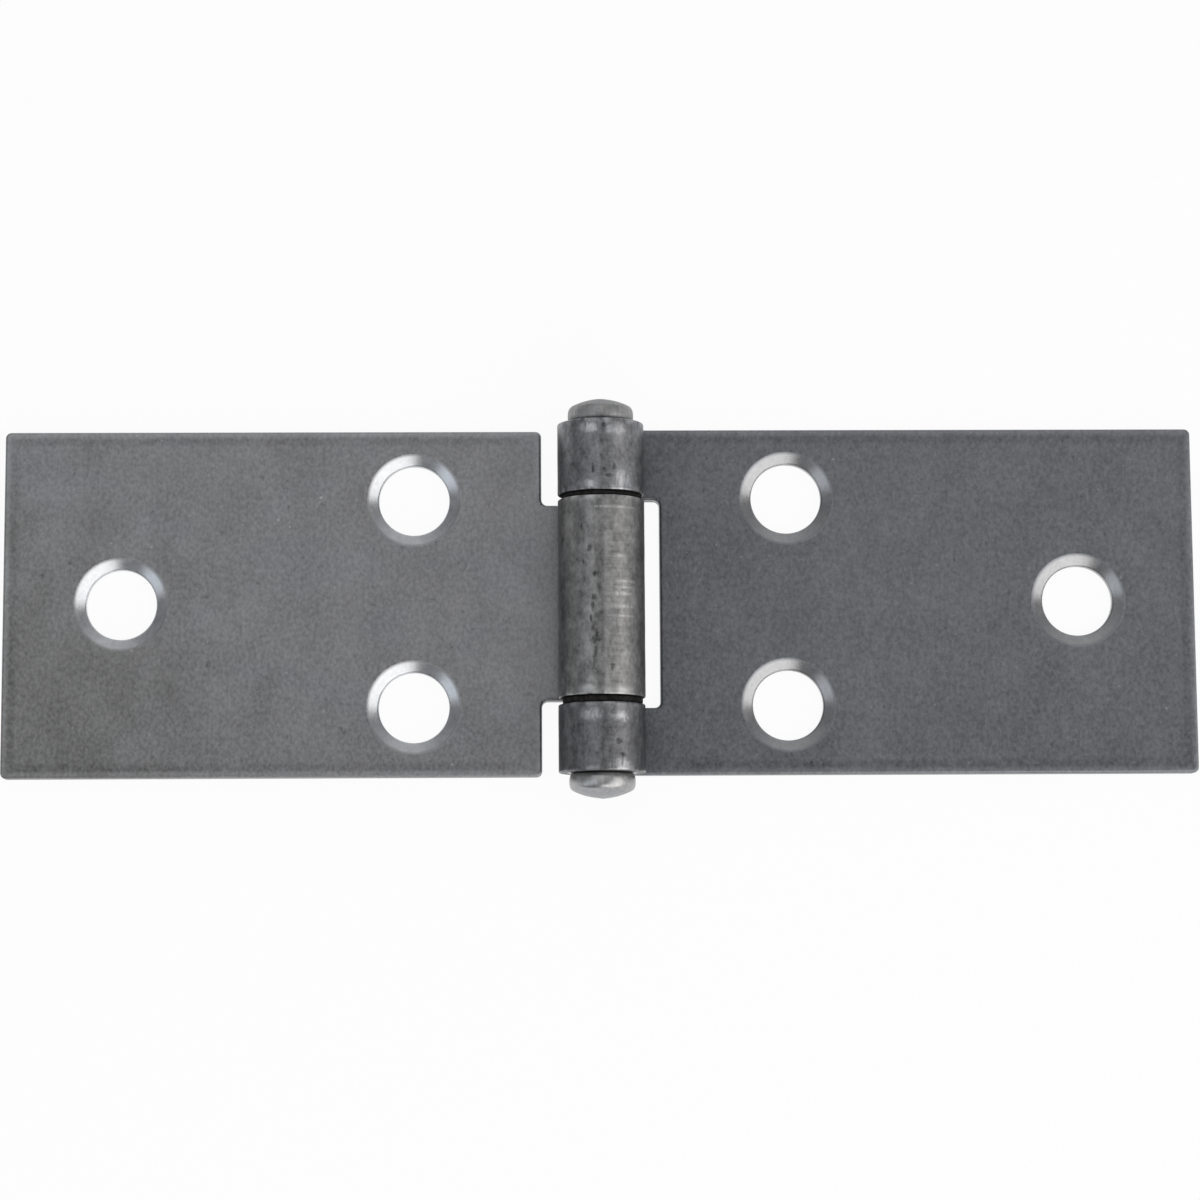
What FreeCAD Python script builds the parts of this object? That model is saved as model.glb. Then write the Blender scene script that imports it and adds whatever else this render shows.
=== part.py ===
import FreeCAD, Part
import math
import os
import Sketcher

# A rolled steel table hinge, lying open and flat with its barrel upwards. X runs across the two leaves,
# Y runs along the pin, and Z is up. The origin is on the back plane, straight below the middle of the pin.
SIZES = {
    # leaves
    "leaf_reach": "60",             # pin axis to the outer end of a leaf
    "leaf_height": "35",            # along the pin
    "sheet_thickness": "1.5",
    "corner_radius": "0.6",         # plan corners of the blank
    "edge_round": "0.3",            # rounding that blanking leaves along the front face
    "leaf_clearance": "1.6",        # barrel to the edge of the other leaf
    # knuckles
    "upper_knuckle": "7.2",         # length of the short knuckle at +Y
    "lower_knuckle": "6.75",        # length of the short knuckle at -Y
    "upper_gap": "0.5",             # middle knuckle to the upper short one
    "lower_gap": "0.7",             # middle knuckle to the lower short one
    "seam_gap": "0.2",              # end of the curl to the leaf it closes on
    # screw holes
    "hole_diameter": "7.1",
    "countersink_diameter": "9.5",
    "countersink_angle": "120",
    "pair_reach": "18.8",           # pin axis to the pair of holes
    "pair_margin": "7",             # each of the pair to the long edge beside it
    "single_margin": "11.8",        # the single hole to the leaf's outer end
    # pin
    "pin_diameter": "5.5",
    "pin_clearance": "0.1",         # pin to bore, all round
    "head_overhang": "0.55",        # head beyond the shank, all round
    "head_bulge": "0.2",            # swelling of the peened side
    "head_side": "1.6",             # height of that side
    "crown_height": "0.85",         # low dome on top of it
    "crown_round": "0.35",          # rounding between side and dome
    "head_gap": "0.1",              # head to the end of its knuckle
}

# Derived sizes, as formulas on the sheet
PIN_RADIUS = "Sizes.pin_diameter / 2"
BORE_RADIUS = f"{PIN_RADIUS} + Sizes.pin_clearance"
BARREL_RADIUS = f"{BORE_RADIUS} + Sizes.sheet_thickness"
LEAF_EDGE = f"{BARREL_RADIUS} + Sizes.leaf_clearance"
PAST_BARREL = f"-2 * ({BARREL_RADIUS})"
SEAM_HEIGHT = "Sizes.sheet_thickness + Sizes.seam_gap"
HALF_HEIGHT = "Sizes.leaf_height / 2"
SLOT_HIGH = f"{HALF_HEIGHT} - Sizes.upper_knuckle"
SLOT_LOW = f"Sizes.lower_knuckle - {HALF_HEIGHT}"
MIDDLE_HIGH = f"{SLOT_HIGH} - Sizes.upper_gap"
MIDDLE_LOW = f"{SLOT_LOW} + Sizes.lower_gap"
HALF_MIDDLE = f"({MIDDLE_HIGH} - ({MIDDLE_LOW})) / 2"
LEAF_SHIFT = f"({MIDDLE_HIGH} + {MIDDLE_LOW}) / 2"
PAIR_OFFSET = f"{HALF_HEIGHT} - Sizes.pair_margin"
SINGLE_REACH = "Sizes.leaf_reach - Sizes.single_margin"
HEAD_RADIUS = f"{PIN_RADIUS} + Sizes.head_overhang"
CROWN_RADIUS = f"{HEAD_RADIUS} - Sizes.head_bulge"
HEAD_BASE = f"{HALF_HEIGHT} + Sizes.head_gap"
HEAD_SHOULDER = f"{HEAD_BASE} + Sizes.head_side"
PIN_END = f"{HEAD_SHOULDER} + Sizes.crown_height"

# Point numbers within a sketch element, and the sketch's own origin and axes
START, END, CENTRE = range(1, 4)
X_AXIS, Y_AXIS = range(-1, -3, -1)
ORIGIN = (-1, 1)
STRAIGHT_DOWN = 1.5 * math.pi
TOUCH = 1e-4

doc = FreeCAD.newDocument("table_hinge")
sheet = doc.addObject("Spreadsheet::Sheet", "Sizes")
for row, (alias, size) in enumerate(SIZES.items(), start=1):
    sheet.set(f"A{row}", alias)
    sheet.set(f"B{row}", size)
    sheet.setAlias(f"B{row}", alias)
doc.recompute()


def value(formula):
    """The number that a formula on the sheet gives now."""
    return float(sheet.evalExpression(formula))


def point(x, y):
    return FreeCAD.Vector(x, y, 0)


def new_body(label):
    body = doc.addObject("PartDesign::Body", label)
    body.Label = label
    return body


def new_sketch(body, name, plane):
    """An empty sketch on one of the body's own origin planes."""
    sketch = body.newObject("Sketcher::SketchObject", name)
    support = next(item for item in body.Origin.OriginFeatures if item.Role == plane)
    sketch.AttachmentSupport = [(support, "")]
    sketch.MapMode = "FlatFace"
    return sketch


def tie(sketch, kind, *what):
    """One constraint without a size."""
    return sketch.addConstraint(Sketcher.Constraint(kind, *what))


def measure(sketch, name, kind, formula, *what):
    """One constraint whose size follows a formula on the sheet."""
    index = sketch.addConstraint(Sketcher.Constraint(kind, *what, value(formula)))
    sketch.renameConstraint(index, name)
    sketch.setExpression(f"Constraints.{name}", formula)


def add_line(sketch, start, end):
    return sketch.addGeometry(Part.LineSegment(point(*start), point(*end)), False)


def add_arc(sketch, centre, radius, first, last):
    """A counter-clockwise arc between two angles in radians."""
    circle = Part.Circle(point(*centre), FreeCAD.Vector(0, 0, 1), radius)
    return sketch.addGeometry(Part.ArcOfCircle(circle, first, last), False)


def add_rectangle(sketch, name, left, right, low, high):
    """A closed rectangle with its four sides placed by formulas."""
    x0, x1, y0, y1 = (value(formula) for formula in (left, right, low, high))
    corners = [(x0, y0), (x1, y0), (x1, y1), (x0, y1)]
    sides = [add_line(sketch, corners[i], corners[(i + 1) % 4]) for i in range(4)]
    for i, side in enumerate(sides):
        tie(sketch, "Coincident", side, END, sides[(i + 1) % 4], START)
        tie(sketch, "Vertical" if i % 2 else "Horizontal", side)
    measure(sketch, f"{name}_left", "DistanceX", left, *ORIGIN, sides[0], START)
    measure(sketch, f"{name}_right", "DistanceX", right, *ORIGIN, sides[1], START)
    measure(sketch, f"{name}_low", "DistanceY", low, *ORIGIN, sides[0], START)
    measure(sketch, f"{name}_high", "DistanceY", high, *ORIGIN, sides[2], START)


def edges_where(feature, wanted):
    """The names of the feature's edges that pass a test."""
    return [f"Edge{i}" for i, edge in enumerate(feature.Shape.Edges, start=1) if wanted(edge)]


def round_edges(body, name, feature, wanted, formula):
    fillet = body.newObject("PartDesign::Fillet", name)
    fillet.Base = (feature, edges_where(feature, wanted))
    fillet.setExpression("Radius", formula)
    doc.recompute()
    return fillet


def check_cut(before, after):
    """A cut that points away from the solid takes nothing off and shows no error."""
    if after.Shape.Volume > before.Shape.Volume - TOUCH:
        raise RuntimeError(f"{after.Label} cut nothing away")


def leaf_section(body):
    """Section of sheet and curl: flat under the pin, round it, and back down to the leaf's own front face."""
    sketch = new_sketch(body, f"{body.Label}_section", "XZ_Plane")
    thickness = value("Sizes.sheet_thickness")
    reach = value("Sizes.leaf_reach")
    bore = value(BORE_RADIUS)
    barrel = value(BARREL_RADIUS)
    curl_end = -math.asin((barrel - value(SEAM_HEIGHT)) / barrel)
    tips = [(r * math.cos(curl_end), barrel + r * math.sin(curl_end)) for r in (barrel, bore)]
    back = add_line(sketch, (reach, 0), (0, 0))
    outside = add_arc(sketch, (0, barrel), barrel, curl_end, STRAIGHT_DOWN)
    inside = add_arc(sketch, (0, barrel), bore, curl_end, STRAIGHT_DOWN)
    tip = add_line(sketch, *tips)
    front = add_line(sketch, (0, thickness), (reach, thickness))
    end = add_line(sketch, (reach, thickness), (reach, 0))
    tie(sketch, "Tangent", back, END, outside, END)
    tie(sketch, "Coincident", outside, START, tip, START)
    tie(sketch, "Coincident", tip, END, inside, START)
    tie(sketch, "Tangent", inside, END, front, START)
    tie(sketch, "Coincident", front, END, end, START)
    tie(sketch, "Coincident", end, END, back, START)
    tie(sketch, "Coincident", outside, CENTRE, inside, CENTRE)
    tie(sketch, "PointOnObject", outside, CENTRE, Y_AXIS)
    tie(sketch, "PointOnObject", back, END, X_AXIS)
    tie(sketch, "Horizontal", back)
    tie(sketch, "Horizontal", front)
    tie(sketch, "Vertical", end)
    tie(sketch, "PointOnObject", outside, CENTRE, tip)
    measure(sketch, "bore", "Radius", BORE_RADIUS, inside)
    measure(sketch, "thickness", "DistanceY", "Sizes.sheet_thickness", end, END, end, START)
    measure(sketch, "reach", "DistanceX", "Sizes.leaf_reach", *ORIGIN, end, START)
    measure(sketch, "seam", "DistanceY", SEAM_HEIGHT, *ORIGIN, tip, START)
    return sketch


def screw_holes(body):
    """Three countersunk holes, opening towards the front face."""
    sketch = new_sketch(body, f"{body.Label}_hole_centres", "XY_Plane")
    sketch.setExpression("AttachmentOffset.Base.z", "Sizes.sheet_thickness")
    places = {"upper": ("Sizes.pair_reach", PAIR_OFFSET), "lower": ("Sizes.pair_reach", f"-({PAIR_OFFSET})")}
    places["single"] = (SINGLE_REACH, None)
    for name, (across, along) in places.items():
        centre = point(value(across), value(along) if along else 0)
        circle = Part.Circle(centre, FreeCAD.Vector(0, 0, 1), value("Sizes.hole_diameter / 2"))
        ring = sketch.addGeometry(circle, False)
        measure(sketch, f"{name}_across", "DistanceX", across, *ORIGIN, ring, CENTRE)
        measure(sketch, f"{name}_radius", "Radius", "Sizes.hole_diameter / 2", ring)
        if along:
            measure(sketch, f"{name}_along", "DistanceY", along, *ORIGIN, ring, CENTRE)
        else:
            tie(sketch, "PointOnObject", ring, CENTRE, X_AXIS)
    doc.recompute()
    hole = body.newObject("PartDesign::Hole", f"{body.Label}_holes")
    hole.Profile = sketch
    doc.recompute()
    hole.DepthType = "ThroughAll"
    hole.DrillPoint = "Flat"
    hole.HoleCutType = "Countersink"
    hole.HoleCutCustomValues = True
    hole.setExpression("Diameter", "Sizes.hole_diameter")
    hole.setExpression("HoleCutDiameter", "Sizes.countersink_diameter")
    hole.setExpression("HoleCutCountersinkAngle", "Sizes.countersink_angle")
    doc.recompute()
    return hole


def make_leaf(label, cuts):
    """A leaf that reaches towards +X, with the given pieces cut out between its knuckles."""
    body = new_body(label)
    pad = body.newObject("PartDesign::Pad", f"{label}_sheet")
    pad.Profile = leaf_section(body)
    pad.SideType = "Symmetric"
    pad.setExpression("Length", "Sizes.leaf_height")
    doc.recompute()

    plan = new_sketch(body, f"{label}_cuts", "XY_Plane")
    for name, (low, high) in cuts.items():
        add_rectangle(plan, name, PAST_BARREL, LEAF_EDGE, low, high)
    pocket = body.newObject("PartDesign::Pocket", f"{label}_knuckle_cut")
    pocket.Profile = plan
    pocket.SideType = "Symmetric"
    pocket.Type = "ThroughAll"
    doc.recompute()
    check_cut(pad, pocket)

    thickness = value("Sizes.sheet_thickness")
    leaf_edge = value(LEAF_EDGE)

    def plan_corner(edge):
        box = edge.BoundBox
        upright = box.XLength < TOUCH and box.YLength < TOUCH and abs(box.ZLength - thickness) < TOUCH
        return upright and box.XMin > leaf_edge - TOUCH

    corners = round_edges(body, f"{label}_corners", pocket, plan_corner, "Sizes.corner_radius")

    def front_rim(edge):
        box = edge.BoundBox
        level = box.ZLength < TOUCH and abs(box.ZMax - thickness) < TOUCH
        return level and box.XMax > leaf_edge + TOUCH

    blanked = round_edges(body, f"{label}_blanked_edge", corners, front_rim, "Sizes.edge_round")
    check_cut(blanked, screw_holes(body))
    return body


def make_pin():
    """The pin: a plain shank with a peened head on each end, turned about its own axis."""
    body = new_body("hinge_pin")
    sketch = new_sketch(body, "pin_half_section", "XY_Plane")
    shank = value(PIN_RADIUS)
    crown = value(CROWN_RADIUS)
    base = value(HEAD_BASE)
    shoulder = value(HEAD_SHOULDER)
    top = value(PIN_END)
    bulge = value("Sizes.head_bulge")
    half_side = (shoulder - base) / 2
    dome = top - shoulder
    side_radius = (half_side**2 + bulge**2) / (2 * bulge)
    dome_radius = (crown**2 + dome**2) / (2 * dome)
    side_angle = math.asin(half_side / side_radius)
    dome_angle = math.acos(crown / dome_radius)
    axis = add_line(sketch, (0, top), (0, 0))
    middle = add_line(sketch, (0, 0), (shank, 0))
    length = add_line(sketch, (shank, 0), (shank, base))
    under = add_line(sketch, (shank, base), (crown, base))
    side_centre = (crown + bulge - side_radius, base + half_side)
    side = add_arc(sketch, side_centre, side_radius, -side_angle, side_angle)
    cap = add_arc(sketch, (0, top - dome_radius), dome_radius, dome_angle, math.pi / 2)
    for first, second in ((axis, middle), (middle, length), (length, under)):
        tie(sketch, "Coincident", first, END, second, START)
    tie(sketch, "Coincident", under, END, side, START)
    tie(sketch, "Coincident", side, END, cap, START)
    tie(sketch, "Coincident", cap, END, axis, START)
    tie(sketch, "Coincident", middle, START, *ORIGIN)
    tie(sketch, "Vertical", axis)
    tie(sketch, "Horizontal", middle)
    tie(sketch, "Vertical", length)
    tie(sketch, "Horizontal", under)
    tie(sketch, "PointOnObject", cap, CENTRE, Y_AXIS)
    measure(sketch, "shank", "DistanceX", PIN_RADIUS, *ORIGIN, length, START)
    measure(sketch, "base", "DistanceY", HEAD_BASE, *ORIGIN, under, START)
    measure(sketch, "neck", "DistanceX", CROWN_RADIUS, *ORIGIN, under, END)
    measure(sketch, "crown", "DistanceX", CROWN_RADIUS, *ORIGIN, side, END)
    measure(sketch, "shoulder", "DistanceY", HEAD_SHOULDER, *ORIGIN, side, END)
    side_formula = "((Sizes.head_side / 2)^2 + Sizes.head_bulge^2) / (2 * Sizes.head_bulge)"
    measure(sketch, "side_radius", "Radius", side_formula, side)
    measure(sketch, "top", "DistanceY", PIN_END, *ORIGIN, cap, END)
    doc.recompute()

    half = body.newObject("PartDesign::Revolution", "pin_half")
    half.Profile = sketch
    half.ReferenceAxis = (sketch, ["V_Axis"])
    half.Angle = 360
    doc.recompute()
    whole = body.newObject("PartDesign::Mirrored", "pin_both_ends")
    whole.Originals = [half]
    mirror = next(item for item in body.Origin.OriginFeatures if item.Role == "XZ_Plane")
    whole.MirrorPlane = (mirror, [""])
    body.Tip = whole
    doc.recompute()

    def crown_rim(edge):
        box = edge.BoundBox
        return box.YLength < TOUCH and abs(abs(box.YMax) - shoulder) < TOUCH

    round_edges(body, "pin_crown_rims", whole, crown_rim, "Sizes.crown_round")
    body.setExpression("Placement.Base.z", BARREL_RADIUS)
    return body


two_knuckle_leaf = make_leaf("two_knuckle_leaf", {"slot": (SLOT_LOW, SLOT_HIGH)})
one_knuckle_cuts = {
    "upper": (HALF_MIDDLE, "Sizes.leaf_height"),
    "lower": ("-Sizes.leaf_height", f"-({HALF_MIDDLE})"),
}
one_knuckle_leaf = make_leaf("one_knuckle_leaf", one_knuckle_cuts)
one_knuckle_leaf.Placement.Rotation = FreeCAD.Rotation(FreeCAD.Vector(0, 0, 1), 180)
one_knuckle_leaf.setExpression("Placement.Base.y", LEAF_SHIFT)
hinge_pin = make_pin()
doc.recompute()

pieces = [two_knuckle_leaf, one_knuckle_leaf, hinge_pin]
for item in doc.Objects:
    if "Invalid" in item.State or "Error" in item.State:
        raise RuntimeError(f"{item.Label} did not build: {item.State}")
for piece in pieces:
    if piece.Shape.isNull() or not piece.Shape.isValid() or len(piece.Shape.Solids) != 1:
        raise RuntimeError(f"{piece.Label} is not one sound solid")

os.makedirs("parts", exist_ok=True)
for piece in pieces:
    piece.Shape.exportStep(os.path.join("parts", f"{piece.Label}.step"))
    print(piece.Label, "volume", round(piece.Shape.Volume, 3))
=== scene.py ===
import bpy
import numpy as np
from mathutils import Matrix, Vector


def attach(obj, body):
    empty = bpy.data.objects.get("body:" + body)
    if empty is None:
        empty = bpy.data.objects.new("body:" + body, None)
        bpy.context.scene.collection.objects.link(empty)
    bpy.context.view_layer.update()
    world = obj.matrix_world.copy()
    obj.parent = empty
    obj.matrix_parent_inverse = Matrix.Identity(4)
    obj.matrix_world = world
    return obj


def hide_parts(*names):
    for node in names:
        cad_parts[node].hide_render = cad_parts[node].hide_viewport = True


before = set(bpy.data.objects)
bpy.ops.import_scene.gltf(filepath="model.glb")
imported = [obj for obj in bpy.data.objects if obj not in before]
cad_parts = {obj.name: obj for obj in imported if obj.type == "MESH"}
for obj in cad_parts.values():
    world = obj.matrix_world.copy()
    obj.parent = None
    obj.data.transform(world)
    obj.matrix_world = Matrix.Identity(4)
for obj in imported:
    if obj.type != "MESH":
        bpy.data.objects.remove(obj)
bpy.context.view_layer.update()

# Fixed leaf: the half of the hinge that is screwed under the table top. It is blanked from bare cold-rolled
# steel sheet, countersunk for three screws, and its two outer tongues are curled round the pin from below.
MM = 0.001
SHEET = 1.5
REACH = 60.0
HALF_HEIGHT = 17.5
BORE = 2.85
BARREL = BORE + SHEET
SEAM = 0.2
SHOULDER = 5.95
CORNER = 0.6
TOUCH = 1e-6
HOLES = ((18.8, 10.5), (18.8, -10.5), (48.2, 0.0))
RIM = 4.75
RIM_ROUND = 0.1
LAND = 3.55
HALF_CONE = np.radians(60)
LAND_HEIGHT = SHEET - (RIM - LAND) / np.tan(HALF_CONE)
CURL_TURN = 1.5 * np.pi + np.arcsin((BARREL - SHEET - SEAM) / BARREL)
TIP = -BARREL * CURL_TURN
FIXED_NOTCHES = ((-10.75, 10.3),)
CUT_STEPS = np.array([0.0, 0.02, 0.05, 0.1, 0.16, 0.23, 0.3, 0.45, CORNER])
HOLE_CELL = 4.0
HOLE_REACH = 6.0
LEAF_PITCH = 0.5
CURL_PITCH = 0.23
DENT_DEPTH = 0.05
KNUCKLE_FRONT_ROUND = 0.08
KNUCKLE_BACK_ROUND = 0.14
LEAF_FRONT_ROUND = 0.3
LEAF_BACK_ROUND = 0.06
JOINT_END = 0.5
JOINT_HALF = 12.0
SHEET_FACE, CUT_SIDE, CONE, JOINT = range(4)


def smooth_step(low, high, x):
    """0 below low, 1 above high, and the cubic 3t^2 - 2t^3 between them."""
    t = np.clip((x - low) / (high - low), 0, 1)
    return t * t * (3 - 2 * t)


def grid_lines(stops, cuts, pitch):
    """Lines through every stop, about one pitch apart, crowded on both sides of the cut edges."""
    spans = [np.linspace(a, b, int(np.ceil((b - a) / pitch)) + 1) for a, b in zip(stops, stops[1:])]
    crowds = [cut + side * CUT_STEPS for cut in cuts for side in (-1, 1)]
    lines = np.unique(np.concatenate(spans + crowds).round(4))
    return lines[(lines >= stops[0]) & (lines <= stops[-1])]


def edge_distance(s, y, notches):
    """Distance from a point of the blank to its nearest cut edge, negative in a notch: the least of the
    distances to the end, the two long sides, the tip of the curl and each notch's box."""
    inside = np.minimum(np.minimum(REACH - s, HALF_HEIGHT - np.abs(y)), s - TIP)
    for low, high in notches:
        inside = np.minimum(inside, np.maximum(s - SHOULDER, np.maximum(low - y, y - high)))
    return inside


def round_outer_corner(s, y, corner, inward):
    """Squares within one corner radius of the corner go to a quarter disc, ring by ring: each point keeps its
    direction from the disc's centre, and its larger coordinate becomes its radius."""
    u = CORNER - (s - corner[0]) * inward[0]
    v = CORNER - (y - corner[1]) * inward[1]
    near = (u > 0) & (v > 0) & (u <= CORNER + TOUCH) & (v <= CORNER + TOUCH)
    scale = np.maximum(u, v) / np.maximum(np.hypot(u, v), TOUCH)
    rounded_s = corner[0] + inward[0] * (CORNER - u * scale)
    rounded_y = corner[1] + inward[1] * (CORNER - v * scale)
    return np.where(near, rounded_s, s), np.where(near, rounded_y, y)


def ease_inner_corner(s, y, corner, empty):
    """Points on the two edges of an inner corner slide on to the fillet's arc, half of it each, and the sheet
    behind follows with a push that fades to nothing two radii away."""
    u = (s - corner[0]) * empty[0]
    v = (y - corner[1]) * empty[1]
    along = np.clip(np.maximum(u, v), 0, CORNER)
    turn = (1 - along / CORNER) * np.pi / 4
    slide = CORNER * (1 - np.sin(turn)) - along
    lift = CORNER * (1 - np.cos(turn))
    fade = np.clip(1 + np.minimum(u, v) / (2 * CORNER), 0, 1)
    fade = np.where(np.maximum(u, v) < CORNER, fade, 0)
    push_u = np.where(u > v, slide, lift) * fade
    push_v = np.where(u > v, lift, slide) * fade
    return s + empty[0] * push_u, y + empty[1] * push_v


def ring_the_holes(s, y, radius):
    """Square rings of the grid round each hole become circles: at the innermost square a circle of the given
    radius, further out a blend back to the square grid."""
    for hole_s, hole_y in HOLES:
        u = s - hole_s
        v = y - hole_y
        square = np.maximum(np.abs(u), np.abs(v))
        circle = np.maximum(np.hypot(u, v), TOUCH)
        blend = smooth_step(HOLE_CELL, HOLE_REACH, square)
        scale = blend + (1 - blend) * (radius + square - HOLE_CELL) / circle
        s = np.where(square < HOLE_REACH, hole_s + u * scale, s)
        y = np.where(square < HOLE_REACH, hole_y + v * scale, y)
    return s, y


def edge_roll(distance, radius):
    """Drop of a face towards a cut edge: a quarter round of the given radius."""
    inset = radius - np.clip(distance, 0, radius)
    return radius - np.sqrt(radius**2 - inset**2)


def curl(s, y, w):
    """Sheet to space. Up to the pin the sheet is flat. Beyond it the sheet turns about the pin by its length
    over the barrel's radius, with shallow dents from the curling tool that only take metal away."""
    turn = np.clip(-s, 0, None) / BARREL
    dents = 0.5 + 0.25 * np.sin(2.3 * turn + 0.9 * y) + 0.25 * np.sin(5.1 * turn - 1.7 * y + 1.3)
    radius = BARREL - w - DENT_DEPTH * dents * smooth_step(1.2, 2.2, turn) * (1 - w / SHEET)
    flat = np.clip(s, 0, None)
    return np.stack([flat - radius * np.sin(turn), y, BARREL - radius * np.cos(turn)], -1)


def countersink_profile():
    """Radius and height down a hole's wall: a rim rounded by a parabola, a straight cone, an upright land."""
    rounding = RIM + RIM_ROUND * np.linspace(1.4, -1, 7)
    radius = np.concatenate([rounding, np.linspace(RIM - 0.2, LAND + 0.02, 7)])
    inward = RIM - radius
    rounded = np.clip(inward + RIM_ROUND, 0, None) ** 2 / (4 * RIM_ROUND)
    drop = np.where(inward < RIM_ROUND, rounded, inward) * (SHEET - LAND_HEIGHT) / (RIM - LAND)
    land = [(LAND, LAND_HEIGHT - 0.03), (LAND, 0.05)]
    return np.concatenate([np.stack([radius, SHEET - drop], -1), land])


def add_object(name, data):
    made = bpy.data.objects.new(name, data)
    bpy.context.scene.collection.objects.link(made)
    return made


def set_values(mesh, name, values):
    """A named attribute on the mesh's points: one number, or one vector, to each."""
    kind, key = ("FLOAT", "value") if values.ndim == 1 else ("FLOAT_VECTOR", "vector")
    mesh.attributes.new(name, kind, "POINT").data.foreach_set(key, values.astype("f").ravel())


def leaf_mesh(name, notches, turned, shift):
    """A leaf from one grid over the blank: s along the sheet from the pin, y across it. The front and back
    faces are the grid at the sheet's two heights, rolled off near cut edges. Walls join them along the
    outline, and a countersink's profile is carried round each hole."""
    knuckle_cuts = sorted(y for notch in notches for y in notch if abs(y) < HALF_HEIGHT)
    cell_lines = [hole_y + side * HOLE_CELL for _, hole_y in HOLES for side in (-1, 1)]
    y_stops = sorted({-HALF_HEIGHT, HALF_HEIGHT, *knuckle_cuts, *cell_lines})
    y_line = grid_lines(y_stops, [-HALF_HEIGHT, HALF_HEIGHT, *knuckle_cuts], LEAF_PITCH)
    cell_columns = {hole_s + side * HOLE_CELL for hole_s, _ in HOLES for side in (-1, 1)}
    s_stops = [0.0, SHOULDER, *sorted(cell_columns), REACH]
    s_line = np.unique(np.concatenate([
        grid_lines([TIP, 0.0], [TIP], CURL_PITCH),
        grid_lines(s_stops, [SHOULDER, REACH], LEAF_PITCH),
    ]))
    s, y = np.meshgrid(s_line, y_line, indexing="ij")
    distance = np.clip(edge_distance(s, y, notches), 0, None)
    mid_s = (s[1:, 1:] + s[:-1, :-1]) / 2
    mid_y = (y[1:, 1:] + y[:-1, :-1]) / 2
    solid = edge_distance(mid_s, mid_y, notches) > 0
    hole_cells = [
        np.maximum(np.abs(mid_s - hole_s), np.abs(mid_y - hole_y)) < HOLE_CELL
        for hole_s, hole_y in HOLES
    ]
    kept = solid & ~np.any(hole_cells, 0)

    flat = smooth_step(0.5, 4.0, s)
    front_round = KNUCKLE_FRONT_ROUND + (LEAF_FRONT_ROUND - KNUCKLE_FRONT_ROUND) * flat
    back_round = KNUCKLE_BACK_ROUND + (LEAF_BACK_ROUND - KNUCKLE_BACK_ROUND) * flat
    front = SHEET - edge_roll(distance, front_round)
    back = edge_roll(distance, back_round)
    sheet = []
    for face, radius in ((front, RIM + 2 * RIM_ROUND), (back, LAND + 0.02)):
        face_s, face_y = ring_the_holes(s, y, radius)
        for side in (-1, 1):
            face_s, face_y = round_outer_corner(face_s, face_y, (REACH, side * HALF_HEIGHT), (-1, -side))
        for low, high in notches:
            for cut, side in ((low, 1), (high, -1)):
                if abs(cut) < HALF_HEIGHT:
                    face_s, face_y = ease_inner_corner(face_s, face_y, (SHOULDER, cut), (-1, side))
                else:
                    corner = (SHOULDER, np.sign(cut) * HALF_HEIGHT)
                    face_s, face_y = round_outer_corner(face_s, face_y, corner, (1, -np.sign(cut)))
        sheet.append(np.stack([face_s, face_y, face], -1).reshape(-1, 3))

    lattice = np.arange(s.size).reshape(s.shape)
    cells = np.stack([lattice[:-1, :-1], lattice[1:, :-1], lattice[1:, 1:], lattice[:-1, 1:]], -1)[kept]

    def outline(here, outside, beyond):
        """Grid edges between these cells and cells outside, each running so that its wall faces outwards. The
        last value says whether what lies beyond the grid counts as outside."""
        outside = np.pad(outside, 1, constant_values=beyond)
        sides = (
            (here & outside[:-2, 1:-1], lattice[:-1, :-1], lattice[:-1, 1:]),
            (here & outside[2:, 1:-1], lattice[1:, 1:], lattice[1:, :-1]),
            (here & outside[1:-1, :-2], lattice[1:, :-1], lattice[:-1, :-1]),
            (here & outside[1:-1, 2:], lattice[:-1, 1:], lattice[1:, 1:]),
        )
        return np.concatenate([np.stack([first[side], last[side]], -1) for side, first, last in sides])

    wall = outline(solid, ~solid, True)
    # Walls at the knuckles' ends, in the gaps, get the joint finish: grease, and painted shade for the gaps.
    in_joint = (s.ravel()[wall] < JOINT_END).all(1) & (np.abs(y.ravel()[wall]) < JOINT_HALF).all(1)
    faces = [cells, cells[:, ::-1] + s.size]
    finish = [SHEET_FACE, SHEET_FACE]
    for side, its_finish in ((wall[~in_joint], CUT_SIDE), (wall[in_joint], JOINT)):
        faces.append(np.column_stack([side, side[:, ::-1] + s.size]))
        finish.append(its_finish)
    for (hole_s, hole_y), hole in zip(HOLES, hole_cells):
        ring = outline(kept, hole, False)
        rim, place = np.unique(ring, return_inverse=True)
        place = place.reshape(ring.shape)
        angle = np.arctan2(y.ravel()[rim] - hole_y, s.ravel()[rim] - hole_s)
        upper = rim
        for radius, height in countersink_profile():
            lower = sum(len(part) for part in sheet) + np.arange(len(rim))
            circle_s = hole_s + radius * np.cos(angle)
            circle_y = hole_y + radius * np.sin(angle)
            sheet.append(np.stack([circle_s, circle_y, np.full(len(rim), height)], -1))
            faces.append(np.column_stack([upper[place], lower[place[:, ::-1]]]))
            finish.append(CONE if radius < RIM - RIM_ROUND else SHEET_FACE)
            upper = lower
        faces.append(np.column_stack([upper[place], rim[place[:, ::-1]] + s.size]))
        finish.append(CONE)

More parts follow.
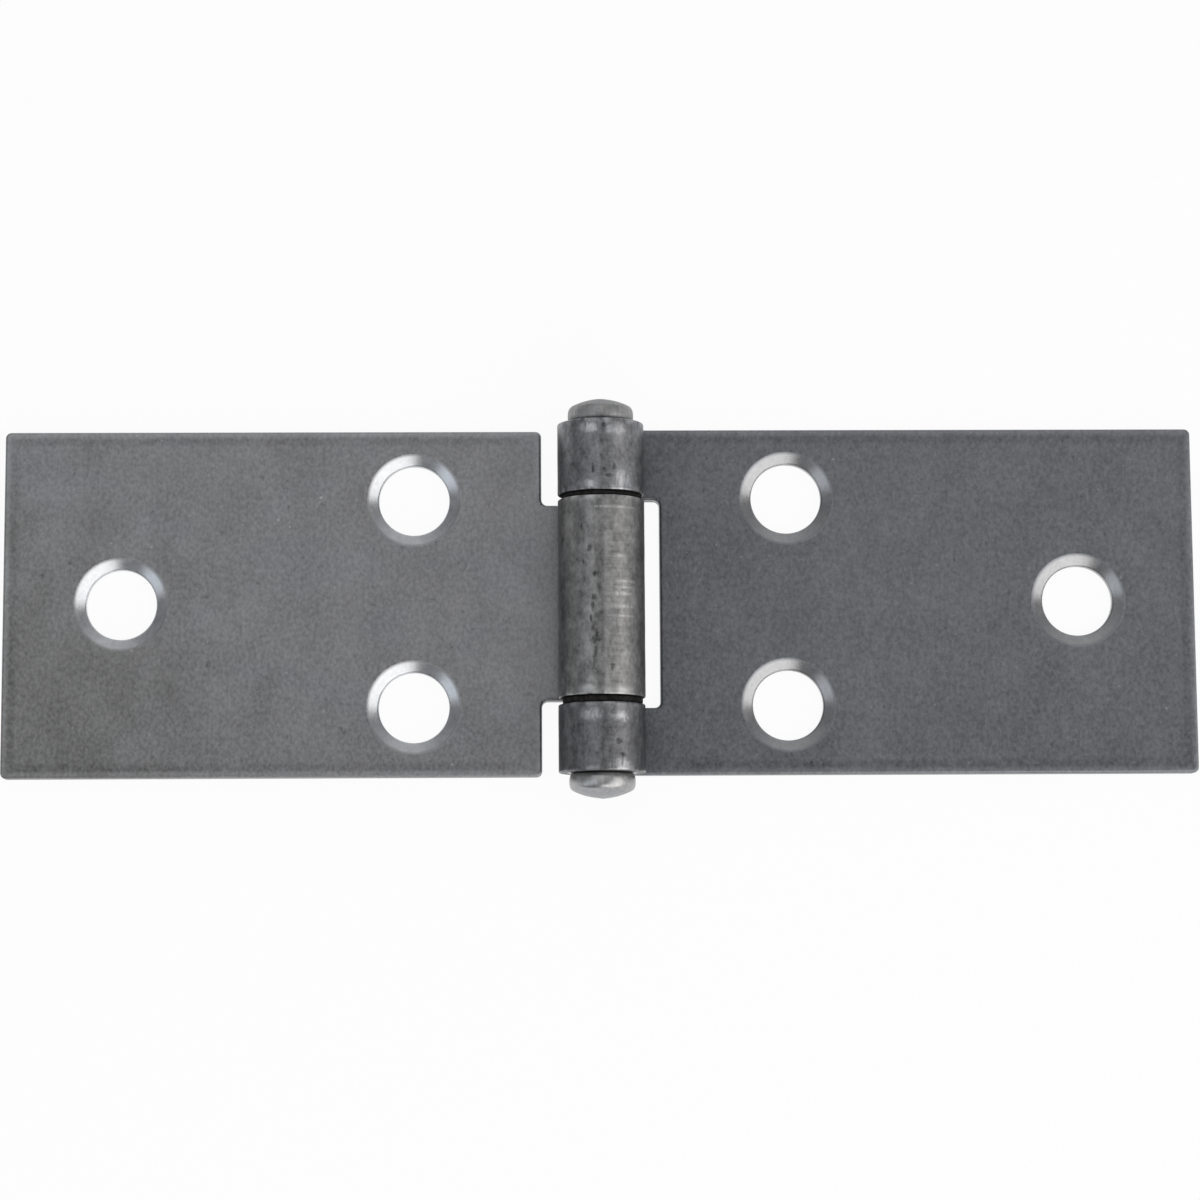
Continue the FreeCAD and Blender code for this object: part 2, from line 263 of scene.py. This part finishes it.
    points = np.concatenate(sheet)
    quads = np.concatenate(faces)
    used, quads = np.unique(quads, return_inverse=True)
    points = points[used]
    space = curl(*points.T)
    if turned:
        space[:, :2] *= -1
    space[:, 1] += shift
    mesh = bpy.data.meshes.new(name)
    mesh.from_pydata(space * MM, [], quads.reshape(-1, 4))
    finish = np.repeat(finish, [len(part) for part in faces]).astype(np.int32)
    mesh.polygons.foreach_set("material_index", finish)
    mesh.shade_smooth()
    mesh.set_sharp_from_angle(angle=np.radians(38))
    edge = np.clip(edge_distance(points[:, 0], points[:, 1], notches), 0, None)
    rims = [np.hypot(points[:, 0] - hole_s, points[:, 1] - hole_y) - RIM for hole_s, hole_y in HOLES]
    set_values(mesh, "sheet", points)
    set_values(mesh, "edge", edge)
    set_values(mesh, "rim", np.min(rims, 0))
    return add_object(name, mesh)


class Link:
    """A socket in a node tree. Arithmetic between links and numbers adds Math nodes to that tree."""

    def __init__(self, tree, socket=None):
        self.tree = tree
        self.socket = socket

    def node(self, kind, settings=None, sockets=None, output=0):
        """Any node: its settings come first, then its sockets get their values or links."""
        made = self.tree.nodes.new(kind)
        for name, setting in (settings or {}).items():
            setattr(made, name, setting)
        for name, given in (sockets or {}).items():
            if isinstance(given, Link):
                self.tree.links.new(given.socket, made.inputs[name])
            else:
                made.inputs[name].default_value = given
        return Link(self.tree, made.outputs[output] if made.outputs else None)

    def math(self, operation, *values):
        return self.node("ShaderNodeMath", {"operation": operation}, dict(enumerate(values)))

    def __add__(self, other):
        return self.math("ADD", self, other)

    def __radd__(self, other):
        return self.math("ADD", other, self)

    def __sub__(self, other):
        return self.math("SUBTRACT", self, other)

    def __rsub__(self, other):
        return self.math("SUBTRACT", other, self)

    def __mul__(self, other):
        return self.math("MULTIPLY", self, other)

    def __pow__(self, other):
        return self.math("POWER", self, other)

    def __abs__(self):
        return self.math("ABSOLUTE", self)

    def between(self, low, high):
        """0 at low, 1 at high, eased between them; low may be the larger."""
        ends = {"Value": self, "From Min": low, "From Max": high}
        return self.node("ShaderNodeMapRange", {"interpolation_type": "SMOOTHSTEP"}, ends)

    def attribute(self, name, output="Fac"):
        return self.node("ShaderNodeAttribute", {"attribute_name": name}, None, output)

    def vector(self, operation, *values):
        return self.node("ShaderNodeVectorMath", {"operation": operation}, dict(enumerate(values)), "Vector")

    def stretched(self, factors, offset=(0.0, 0.0, 0.0)):
        """This vector times the factors, axis by axis, plus an offset."""
        return self.vector("MULTIPLY_ADD", self, factors, offset)

    def length(self):
        return self.node("ShaderNodeVectorMath", {"operation": "LENGTH"}, {0: self}, "Value")

    def noise(self, detail=2.0, roughness=0.5):
        """Noise at this vector, from 0 to 1 and mostly near 0.5."""
        sockets = {"Vector": self, "Scale": 1.0, "Detail": detail, "Roughness": roughness}
        return self.node("ShaderNodeTexNoise", None, sockets)

    def marks(self, ovals, ragged, spread):
        """1 inside ovals, each given by its centre and half sizes on the sheet, and 0 outside them. The
        ragged noise times the spread moves their outlines in and out."""
        worst = 0.0
        for s, y, half_s, half_y in ovals:
            oval = self.stretched((1 / half_s, 1 / half_y, 0.0), (-s / half_s, -y / half_y, 0.0)).length()
            worst = self.math("MAXIMUM", worst, (oval + (ragged - 0.5) * spread).between(1.6, 0.35))
        return worst

    def parts(self):
        split = self.node("ShaderNodeSeparateXYZ", None, {"Vector": self})
        sockets = split.socket.node.outputs
        return [Link(self.tree, sockets[i]) for i in range(3)]

    def mixed(self, first, second):
        """The colour that lies this far from the first to the second."""
        return self.node("ShaderNodeMix", {"data_type": "RGBA"}, {0: self, 6: first, 7: second}, 2)

    def scaled(self, factor):
        return self.node("ShaderNodeVectorMath", {"operation": "SCALE"}, {0: self, "Scale": factor}, "Vector")

    def bump(self, depth, strength=1.0):
        """A normal from this height, where 1 stands for a depth in millimetres."""
        sockets = {"Height": self, "Distance": depth * MM, "Strength": strength}
        return self.node("ShaderNodeBump", None, sockets, "Normal")


def new_material(name):
    material = bpy.data.materials.new(name)
    material.use_nodes = True
    material.node_tree.nodes.clear()
    return material, Link(material.node_tree)


def metal(link, colour, roughness, normal):
    """Bare metal with the given colour, roughness and normal."""
    sockets = {"Base Color": colour, "Metallic": 1.0, "Roughness": roughness, "Normal": normal}
    shader = link.node("ShaderNodeBsdfPrincipled", None, sockets)
    link.node("ShaderNodeOutputMaterial", None, {"Surface": shader})


def tinted(colour, tint):
    """A colour times a tint, part by part, with full alpha."""
    return tuple(part * factor for part, factor in zip(colour, tint)) + (1.0,)


def sheet_steel(name, steel, start, painted_root_shade, painted_shade_side, knuckle, pits, rubs, stains):
    """Dull cold-rolled sheet: fine mottled grain drawn out along the pin, cloudy patches, flecks, smudges and
    oily stains, with painted shade near the barrel and towards one long side. Round the barrel it is blotchy,
    with pits that the curling opened, rubs from the tool, a painted sheen band and a painted dark crest."""
    material, link = new_material(name)
    place = link.attribute("sheet", "Vector")
    edge = link.attribute("edge")
    rim = link.attribute("rim")
    s, y, w = place.parts()
    grain = place.stretched((3.1, 2.3, 3.1), start).noise(5.0, 0.62)
    clouds = place.stretched((0.24, 0.17, 0.24), start).noise(3.0, 0.5)
    warmth = place.stretched((0.13, 0.2, 0.13), start).noise(2.0, 0.5)
    streaks = place.stretched((2.8, 0.35, 2.8), start).noise(3.0, 0.55)
    light_flecks = place.stretched((1.7, 1.4, 1.7), start).noise(1.0, 0.5).between(0.7, 0.84)
    dark_flecks = place.stretched((1.5, 1.2, 1.5), start[::-1]).noise(1.0, 0.5).between(0.3, 0.18)
    sparks = place.stretched((2.2, 2.2, 2.2), start[::-1]).noise(0.0, 0.5).between(0.85, 0.94)
    slanting = {"Vector": place, "Angle": 0.5}
    slant = link.node("ShaderNodeVectorRotate", {"rotation_type": "Z_AXIS"}, slanting, "Vector")
    smudges = slant.stretched((2.4, 0.7, 2.4), start).noise(1.0, 0.4).between(0.74, 0.88)
    outer = s.between(7.0, 10.0)
    handled = link.math("MAXIMUM", outer, s.between(3.0, 5.0) * abs(y).between(10.5, 12.0))
    worn_edge = handled * edge.between(0.8, 0.1)
    stained_edge = outer * edge.between(0.5, 0.85) * edge.between(1.7, 1.1)
    leaf_tone = 1.0 + (grain - 0.5) * 1.3 + (clouds - 0.5) * 0.35 + (streaks - 0.5) * 0.12
    leaf_tone = leaf_tone + light_flecks * 0.2 - dark_flecks * 0.25 + smudges * 0.2 + sparks * 0.7
    leaf_tone = leaf_tone + worn_edge * 0.28 - stained_edge * 0.13
    leaf_tone = leaf_tone + rim.between(0.1, -0.1) * w.between(0.9, 1.2) * 0.45
    # Painted shade: the leaf darker towards the barrel, for the shade and dark reflection the barrel gives
    # there.
    leaf_tone = leaf_tone + (s.between(28.0, 8.0) + s.between(10.0, 6.0)) * painted_root_shade
    # Painted shade: both leaves darker towards the same long side of the hinge, where less light falls.
    leaf_tone = leaf_tone - (y * painted_shade_side).between(4.0, 16.0) * 0.065
    stained = place.marks(stains, clouds, 1.2)
    leaf_tone = leaf_tone - stained * 0.16

    barrel = s.between(-3.0, -7.0)
    rising, rub, sheen_from, sheen_to = knuckle
    blotches = place.stretched((1.1, 0.7, 1.1), start).noise(4.0, 0.6)
    specks = place.stretched((1.9, 0.95, 1.9), start).noise(2.0, 0.55).between(0.33, 0.24)
    # Painted shade: a dark band along the top of the barrel, for the dark overhead it reflects.
    painted_crest_shade = s.between(-13.2, -13.8) * s.between(-15.0, -14.2)
    # Painted sheen: a lighter band along the barrel's right side, where the right softbox's reflection falls,
    # streaked by real tool lines.
    painted_sheen = s.between(sheen_from, sheen_from + (sheen_to - sheen_from) * 0.15)
    painted_sheen = painted_sheen * s.between(sheen_to, sheen_to + (sheen_from - sheen_to) * 0.9)
    pitted = place.marks(pits, grain, 3.0)
    rubbed = place.marks(rubs, blotches * 0.5 + grain * 0.5, 6.0) * streaks.between(0.22, 0.55)
    tool_lines = place.stretched((0.3, 4.5, 0.3), start).noise(3.0, 0.6)
    worn_end = edge.between(0.7, 0.12) * blotches.between(0.4, 0.6)
    barrel_tone = 1.0 + (blotches - 0.5) * 1.7 + (grain - 0.5) * 1.25 + (streaks - 0.5) * 0.3
    barrel_tone = barrel_tone + painted_sheen * (0.3 + (tool_lines - 0.5) * 0.9) - painted_crest_shade * 0.24
    barrel_tone = barrel_tone + rubbed * rub + worn_end * 0.6
    barrel_tone = barrel_tone * (1.0 - pitted * 0.5) * (1.0 - specks * 0.25) * (1.0 + y * rising)
    tone = leaf_tone + barrel * (barrel_tone - leaf_tone)
    cool = tinted(steel, (0.994, 1.0, 1.008))
    warm = tinted(steel, (1.006, 1.0, 0.99))
    oiled = tinted(steel, (1.01, 1.0, 0.97))
    oil = link.math("MAXIMUM", barrel, stained)
    colour = oil.mixed(warmth.between(0.35, 0.65).mixed(cool, warm), oiled).scaled(tone)
    roughness = 0.44 + (grain - 0.5) * 0.3 - barrel * (0.03 + rubbed * 0.08 - pitted * 0.15)
    height = grain * 0.6 + streaks * 0.25 - barrel * pitted * 2.0 + smudges * 0.3
    metal(link, colour, roughness, height.bump(0.02, 0.6))
    return material


def sheared_edge(name):
    """The cut side of the blank: a burnished band below the front face, then torn metal down to the back."""
    material, link = new_material(name)
    place = link.attribute("sheet", "Vector")
    w = place.parts()[2]
    lines = place.stretched((5.0, 5.0, 0.5)).noise(3.0, 0.6)
    torn = place.stretched((3.0, 3.0, 3.0)).noise(4.0, 0.65)
    burnished = (w + (lines - 0.5) * 0.6).between(0.75, 0.95)
    tone = 0.85 + burnished * 0.4 + (torn - 0.5) * 0.7 + (lines - 0.5) * 0.5
    colour = burnished.mixed((0.26, 0.26, 0.265, 1.0), (0.31, 0.31, 0.31, 1.0)).scaled(tone)
    roughness = 0.55 - burnished * 0.2
    metal(link, colour, roughness, (torn * (1.0 - burnished) + lines * 0.4).bump(0.05, 0.7))
    return material


def turned_cone(name, steel, leaf_steel):
    """A countersink left by the cutter: smooth bare steel with the faintest rings and smears round it, dull
    again towards its worn rim."""
    material, link = new_material(name)
    place = link.attribute("sheet", "Vector")
    rim = link.attribute("rim")
    w = place.parts()[2]
    smear = place.stretched((1.3, 1.3, 1.3)).noise(3.0, 0.55)
    rings = link.math("SINE", (w + (smear - 0.5) * 0.1) * 70.0)
    grain = place.stretched((3.1, 2.3, 3.1)).noise(5.0, 0.62)
    dull = (rim + (grain - 0.5) * 0.3).between(-0.34, -0.06)
    tone = 1.0 + (smear - 0.5) * 0.3 + (grain - 0.5) * (0.4 + dull * 0.7) + rings * 0.015
    worn_rim = tinted(leaf_steel, (1.45, 1.45, 1.45))
    colour = dull.mixed(steel + (1.0,), worn_rim).scaled(tone)
    roughness = 0.29 + dull * 0.13 + (smear - 0.5) * 0.12
    metal(link, colour, roughness, (rings * 0.3 + smear).bump(0.004, 0.4))
    return material


def grease_and_painted_shade(name):
    """Black grease that fills the pores of the knuckles' ends where they rub, matt, in soft smears, and
    painted shade for the gaps between the knuckles, on those ends and on the rings there.
    """
    material, link = new_material(name)
    smear = link.attribute("sheet", "Vector").stretched((1.6, 1.6, 4.0)).noise(3.0, 0.6)
    colour = smear.between(0.35, 0.7).mixed((0.012, 0.0115, 0.011, 1.0), (0.035, 0.034, 0.032, 1.0))
    sockets = {"Base Color": colour, "Roughness": 0.7 + (smear - 0.5) * 0.4, "Specular IOR Level": 0.1}
    gap_shade = link.node("ShaderNodeBsdfPrincipled", None, {**sockets, "Normal": smear.bump(0.03, 0.5)})
    link.node("ShaderNodeOutputMaterial", None, {"Surface": gap_shade})
    return material


cut_steel = sheared_edge("sheared_edge")
joint_grease_and_shade = grease_and_painted_shade("joint_grease_and_shade")


def dress_leaf(piece, materials, body, node):
    for material in materials:
        piece.data.materials.append(material)
    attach(piece, body)
    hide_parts(node)


FIXED_PITS = (
    (-12.8, 12.5, 0.15, 0.4), (-14.0, 12.3, 0.2, 0.3), (-14.9, 12.6, 0.2, 0.35),
    (-14.4, 11.7, 0.45, 0.2), (-13.9, 16.7, 0.2, 0.45), (-14.7, -11.75, 0.3, 0.35),
    (-15.3, -14.6, 0.3, 0.3), (-15.7, -15.9, 0.25, 0.25),
)
FIXED_RUBS = (
    (-15.8, 11.4, 0.9, 0.9), (-12.2, 10.9, 0.9, 0.35), (-15.2, 16.3, 0.9, 0.5), (-12.2, 16.5, 0.8, 0.4),
    (-15.6, -17.0, 1.0, 0.6), (-12.4, -12.0, 1.0, 0.5), (-15.4, -12.1, 0.9, 0.45),
)
fixed_leaf = leaf_mesh("leaf_with_two_knuckles", FIXED_NOTCHES, False, 0.0)
# Painted shade: the fixed leaf's steel and countersinks are coloured darker than the moving leaf's, though
# both are the same sheet.
FIXED_STEEL = (0.184, 0.1885, 0.2035)
FIXED_KNUCKLES = (0.0085, 1.5, -13.6, -17.8)
fixed_steel = sheet_steel(
    "fixed_sheet_steel", FIXED_STEEL, start=(3.1, 7.7, 1.9), painted_root_shade=-0.12, painted_shade_side=-1,
    knuckle=FIXED_KNUCKLES, pits=FIXED_PITS, rubs=FIXED_RUBS, stains=(),
)
fixed_cone = turned_cone("fixed_countersinks", (0.362, 0.366, 0.377), FIXED_STEEL)
fixed_materials = (fixed_steel, cut_steel, fixed_cone, joint_grease_and_shade)
dress_leaf(fixed_leaf, fixed_materials, "fixed_leaf", "two_knuckle_leaf")

# Moving leaf: the half that is screwed under the drop leaf, from the same sheet. Its one wide middle tongue
# is curled round the pin between the other leaf's two, and it sits a trace lower along the pin.
OPEN_END = 100.0
MOVING_NOTCHES = ((9.925, OPEN_END), (-OPEN_END, -9.925))
MOVING_SHIFT = -0.125
MOVING_PITS = (
    (-15.8, -6.6, 0.12, 0.45), (-14.9, -4.6, 0.22, 0.25), (-15.6, -3.3, 0.15, 0.3),
    (-14.45, -2.05, 0.22, 0.2), (-14.5, 0.3, 0.22, 0.25), (-14.65, 1.25, 0.15, 0.4),
    (-14.8, 2.4, 0.12, 0.35), (-14.45, 4.6, 0.34, 0.55), (-14.4, 5.8, 0.2, 0.8), (-12.7, 7.15, 0.2, 0.35),
)
MOVING_RUBS = (
    (-12.0, -3.8, 0.9, 0.16), (-11.3, -1.3, 1.1, 0.14), (-11.5, -0.05, 1.3, 0.16), (-11.6, 1.2, 1.3, 0.18),
    (-11.5, 2.15, 1.2, 0.14), (-11.2, -0.7, 1.0, 0.1), (-12.4, -8.7, 1.9, 0.12), (-12.0, 9.4, 1.4, 0.35),
    (-15.2, 9.3, 0.9, 0.3),
)
MOVING_STAINS = ((60.0, 12.0, 18.0, 18.0),)
moving_leaf = leaf_mesh("leaf_with_one_knuckle", MOVING_NOTCHES, True, MOVING_SHIFT)
# Painted light: the moving leaf's steel and countersinks are coloured lighter than the fixed leaf's, for the
# light that falls more on this leaf.
MOVING_STEEL = (0.246, 0.2485, 0.2565)
MOVING_KNUCKLE = (0.0, 0.75, -13.75, -9.4)
moving_steel = sheet_steel(
    "moving_sheet_steel", MOVING_STEEL, start=(17.3, 4.2, 11.6), painted_root_shade=0.0, painted_shade_side=1,
    knuckle=MOVING_KNUCKLE, pits=MOVING_PITS, rubs=MOVING_RUBS, stains=MOVING_STAINS,
)
moving_cone = turned_cone("moving_countersinks", (0.545, 0.557, 0.582), MOVING_STEEL)
moving_materials = (moving_steel, cut_steel, moving_cone, joint_grease_and_shade)
dress_leaf(moving_leaf, moving_materials, "moving_leaf", "one_knuckle_leaf")

# Hinge pin: drawn steel wire pushed through all three knuckles and peened at both ends to a low domed head.
# The hammer leaves the head's side a little smoother and brighter than its end.
PIN_RADIUS = 2.75
HEAD_BASE = 17.6
HEAD_SIDE = 1.6
HEAD_RADIUS = 3.3
CROWN_RADIUS = 3.1
CROWN_HEIGHT = 0.85


def pin_profile():
    """Radius and distance along the pin, from its middle to the end's centre: a straight shank, a flat
    underside, a bulging side and a dome, with the head's corners rounded by a running mean along the line."""
    bulge = np.linspace(-1, 1, 60)
    swell = (HEAD_RADIUS - CROWN_RADIUS) * (1 - np.abs(bulge) ** 3)
    side = np.stack([CROWN_RADIUS + swell, HEAD_BASE + HEAD_SIDE * (bulge + 1) / 2], -1)
    inwards = np.linspace(0, 1, 120)[1:]
    top = HEAD_BASE + HEAD_SIDE + CROWN_HEIGHT
    dome = np.stack([CROWN_RADIUS * (1 - inwards), top - CROWN_HEIGHT * (1 - inwards) ** 2], -1)
    head = np.concatenate([side, dome])
    length = np.concatenate([[0], np.cumsum(np.hypot(*np.diff(head, axis=0).T))])
    even = np.linspace(0, length[-1], 240)
    head = np.stack([np.interp(even, length, head[:, i]) for i in range(2)], -1)
    window = 21
    padded = np.concatenate([head[:1].repeat(window // 2, 0), head, [[-1, 1]] * head[-window // 2:-1][::-1]])
    soft = np.stack([np.convolve(padded[:, i], np.full(window, 1 / window), "valid") for i in range(2)], -1)
    soft[0] = head[0]
    soft[-1, 0] = 0.0
    shank = [(PIN_RADIUS, 0.0), (PIN_RADIUS, HEAD_BASE - 0.1), (PIN_RADIUS, HEAD_BASE)]
    underside = [(CROWN_RADIUS - 0.1, HEAD_BASE)]
    return np.concatenate([shank, underside, soft[::3][:-1], soft[-1:]])


def turned_mesh(name, profile, around):
    """The profile carried round the pin's axis, mirrored to both ends, with each pole closed by a fan. The
    heads' radius and end swell and dip a little with the angle, as hammer blows leave them."""
    line = np.concatenate([profile[::-1] * (1, -1), profile[1:]])
    radius, along = line[1:-1].T
    angle = np.linspace(0, 2 * np.pi, around, endpoint=False)
    on_head = smooth_step(HEAD_BASE + 0.2, HEAD_BASE + HEAD_SIDE, np.abs(along))[:, None]
    along = along[:, None]
    end = np.sign(along)
    lobes = 0.5 + 0.3 * np.sin(2 * angle + 0.7 + end) + 0.2 * np.sin(5 * angle + 2.0 * along)
    r = radius[:, None] * (1 - 0.01 * on_head * lobes)
    dip = 0.035 * on_head * (1 + np.sin(2 * angle + 1.1)) * (1 - r / HEAD_RADIUS)
    places = np.stack([r * np.cos(angle), along - end * dip, BARREL + r * np.sin(angle)], -1)
    rings, count = len(radius), len(angle)
    ids = np.arange(rings * count).reshape(rings, count)
    after = np.roll(ids, -1, 1)
    quads = np.stack([ids[:-1], ids[1:], after[1:], after[:-1]], -1).reshape(-1, 4)
    poles = rings * count
    fan_low = np.stack([np.full(count, poles), ids[0], after[0]], -1)
    fan_high = np.stack([ids[-1], np.full(count, poles + 1), after[-1]], -1)
    ends = np.array([[0.0, line[0, 1], BARREL], [0.0, line[-1, 1], BARREL]])
    mesh = bpy.data.meshes.new(name)
    points = np.concatenate([places.reshape(-1, 3), ends]) * MM
    mesh.from_pydata(points, [], [*quads.tolist(), *fan_low.tolist(), *fan_high.tolist()])
    mesh.shade_smooth()
    mesh.set_sharp_from_angle(angle=np.radians(50))
    return add_object(name, mesh)


def pin_steel(name):
    """Drawn wire: a shank painted near black for the shade in the gaps between the knuckles, and dull grey
    heads with faint marks along their sides.
    """
    material, link = new_material(name)
    place = link.node("ShaderNodeTexCoord", None, None, "Object").scaled(1 / MM)
    y = place.parts()[1]
    head = abs(y).between(HEAD_BASE - 0.05, HEAD_BASE + 0.35)
    struck = abs(y).between(HEAD_BASE + HEAD_SIDE - 0.15, HEAD_BASE + HEAD_SIDE + 0.25)
    grain = place.stretched((2.6, 2.6, 2.6)).noise(4.0, 0.6)
    drawn = place.stretched((4.0, 0.5, 4.0)).noise(3.0, 0.6)
    tone = 1.0 + (grain - 0.5) * 0.8 + (drawn - 0.5) * 0.7
    rubbed = y.between(10.0, -10.0)
    worn = struck.mixed((0.37, 0.37, 0.375, 1.0), (0.34, 0.343, 0.355, 1.0))
    # Painted shade: the shank, seen only through the gaps between the knuckles, is coloured near black for
    # their shade.
    colour = head.mixed((0.03, 0.03, 0.03, 1.0), worn).scaled(tone * (0.87 + rubbed * 0.2))
    roughness = 0.5 - head * (0.02 + rubbed * 0.13) + struck * 0.12 + (grain - 0.5) * 0.2
    metal(link, colour, roughness, (grain * (0.3 + struck) + drawn * 0.3).bump(0.03, 0.5))
    return material


pin = turned_mesh("peened_pin", pin_profile(), 96)
pin.data.materials.append(pin_steel("pin_steel"))
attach(pin, "fixed_leaf")
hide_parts("hinge_pin")

# Gap shade: black rings in the two gaps between the knuckles, painted shade that hides the white floor seen
# through them. They cling to the pin in uneven rings that stop just short of the barrel's surface.
GAP_SHADE_RADIUS = 3.95
GAP_SHADE_CORE = 2.6
SHADED_GAPS = ((9.83, 10.28), (-10.73, -10.08))


def gap_shade_mesh(name, gaps, around):
    """One ring to each gap: a superellipse, nearly a rectangle, carried round the pin's axis. The part of its
    radius beyond the core swells and shrinks with the angle."""
    turn = np.linspace(0, 2 * np.pi, 32, endpoint=False)[:, None]
    across, upwards = (np.sign(wave) * np.abs(wave) ** 0.35 for wave in (np.cos(turn), np.sin(turn)))
    angle = np.linspace(0, 2 * np.pi, around, endpoint=False)
    uneven = 1 + 0.06 * np.sin(3 * angle + 1.0) + 0.05 * np.sin(8 * angle)
    radius = GAP_SHADE_CORE + (GAP_SHADE_RADIUS - GAP_SHADE_CORE) * (across + 1) / 2 * uneven
    ids = np.arange(radius.size).reshape(radius.shape)
    after = np.roll(ids, -1, 1)
    quads = np.stack([ids, np.roll(ids, -1, 0), np.roll(after, -1, 0), after], -1).reshape(-1, 4)
    rings = []
    for low, high in gaps:
        along = (low + high) / 2 + (high - low) / 2 * upwards + 0 * angle
        rings.append(np.stack([radius * np.cos(angle), along, BARREL + radius * np.sin(angle)], -1))
    points = np.concatenate(rings).reshape(-1, 3)
    mesh = bpy.data.meshes.new(name)
    mesh.from_pydata(points * MM, [], np.concatenate([quads + i * radius.size for i in range(len(gaps))]))
    mesh.shade_smooth()
    set_values(mesh, "sheet", points)
    return add_object(name, mesh)


gap_shade = gap_shade_mesh("gap_shade_rings", SHADED_GAPS, 96)
gap_shade.data.materials.append(joint_grease_and_shade)
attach(gap_shade, "fixed_leaf")

# Floor: a wide sheet of plain white paper under the hinge. The camera and reflections see it mostly as even
# white, with a faint shadow of the hinge on it.
FLOOR_HALF = 8.0
FLOOR_DROP = 0.00002
EVEN_WHITE = 0.94
floor_mesh = bpy.data.meshes.new("floor")
floor_corners = FLOOR_HALF * np.array([[-1, -1, 0], [1, -1, 0], [1, 1, 0], [-1, 1, 0]])
floor_mesh.from_pydata(floor_corners - (0, 0, FLOOR_DROP), [], [[0, 1, 2, 3]])
floor = add_object("floor", floor_mesh)
paper, paper_link = new_material("white_paper")
lit_sockets = {"Base Color": (0.92, 0.92, 0.92, 1.0), "Roughness": 0.9, "Specular IOR Level": 0.0}
lit_paper = paper_link.node("ShaderNodeBsdfPrincipled", None, lit_sockets)
white_sockets = {"Color": (1.0, 1.0, 1.0, 1.0), "Strength": 1.0}
white_paper = paper_link.node("ShaderNodeEmission", None, white_sockets)
camera_ray = paper_link.node("ShaderNodeLightPath", None, None, "Is Camera Ray")
glossy_ray = paper_link.node("ShaderNodeLightPath", None, None, "Is Glossy Ray")
clear_ray = paper_link.node("ShaderNodeLightPath", None, None, "Is Transmission Ray")
seen = paper_link.math("MAXIMUM", camera_ray, paper_link.math("MAXIMUM", glossy_ray, clear_ray))
paper_sockets = {"Fac": seen * EVEN_WHITE, 1: lit_paper, 2: white_paper}
paper_shader = paper_link.node("ShaderNodeMixShader", None, paper_sockets)
paper_link.node("ShaderNodeOutputMaterial", None, {"Surface": paper_shader})
floor_mesh.materials.append(paper)

# Light: a pale room that is brighter overhead and behind, a wide softbox in front on the right and a smaller,
# cooler one high on the left, as the bands along the barrel and round the countersinks show.
LAMP_DISTANCE = 0.6
world = bpy.data.worlds.new("pale_room")
world.use_nodes = True
world.node_tree.nodes.clear()
room = Link(world.node_tree)
right, behind, up = room.node("ShaderNodeTexCoord", None, None, "Generated").parts()
window = room.math("MAXIMUM", behind * 0.97 + right * 0.26, 0.0)
overhead = (up * 0.9 + behind * 0.4 - right * 0.12).between(0.72, 1.0)
skirting = up.between(0.3, 0.0)
room_level = 0.22 + window ** 4 * 0.5 + overhead * 0.7 + skirting * (0.25 + right * 0.2)
room_sockets = {"Color": (1.0, 1.0, 1.0, 1.0), "Strength": room_level}
room_light = room.node("ShaderNodeBackground", None, room_sockets)
room.node("ShaderNodeOutputWorld", None, {"Surface": room_light})
bpy.context.scene.world = world


def softbox(name, azimuth, elevation, width, height, watts, colour):
    """A rectangular lamp that faces the hinge, at its azimuth from +X and its elevation."""
    lamp = bpy.data.lights.new(name, "AREA")
    lamp.shape = "RECTANGLE"
    lamp.size = width
    lamp.size_y = height
    lamp.energy = watts
    lamp.color = colour
    holder = add_object(name, lamp)
    a, e = np.radians([azimuth, elevation])
    towards = Vector((np.cos(a) * np.cos(e), np.sin(a) * np.cos(e), np.sin(e)))
    holder.location = towards * LAMP_DISTANCE
    holder.rotation_euler = towards.to_track_quat("Z", "Y").to_euler()


softbox("right_softbox", -42, 36, 1.08, 0.52, 2.95, (1.0, 0.98, 0.955))
softbox("left_softbox", 202, 42, 0.34, 0.6, 0.54, (0.88, 0.94, 1.0))

# Camera: straight above the hinge but for about seven degrees, as the photograph's outline and seams show.
IMAGE = 1200
FOCAL_PIXELS = 3264.3
CAMERA_OFFSET = Vector((0.0562, -0.3273, -330.0)) * MM
CAMERA_TILT = (-0.12734, 0.020895, 0.003142)
tilt = Matrix.Identity(3)
for axis, turn in zip("XYZ", CAMERA_TILT):
    tilt = Matrix.Rotation(turn, 3, axis) @ tilt
lens = bpy.data.cameras.new("camera")
lens.sensor_width = 36.0
lens.lens = FOCAL_PIXELS / IMAGE * lens.sensor_width
camera = add_object("camera", lens)
camera_turn = tilt.transposed()
camera.matrix_world = Matrix.Translation(camera_turn @ -CAMERA_OFFSET) @ camera_turn.to_4x4()
bpy.context.scene.camera = camera
bpy.context.scene.view_settings.view_transform = "Standard"
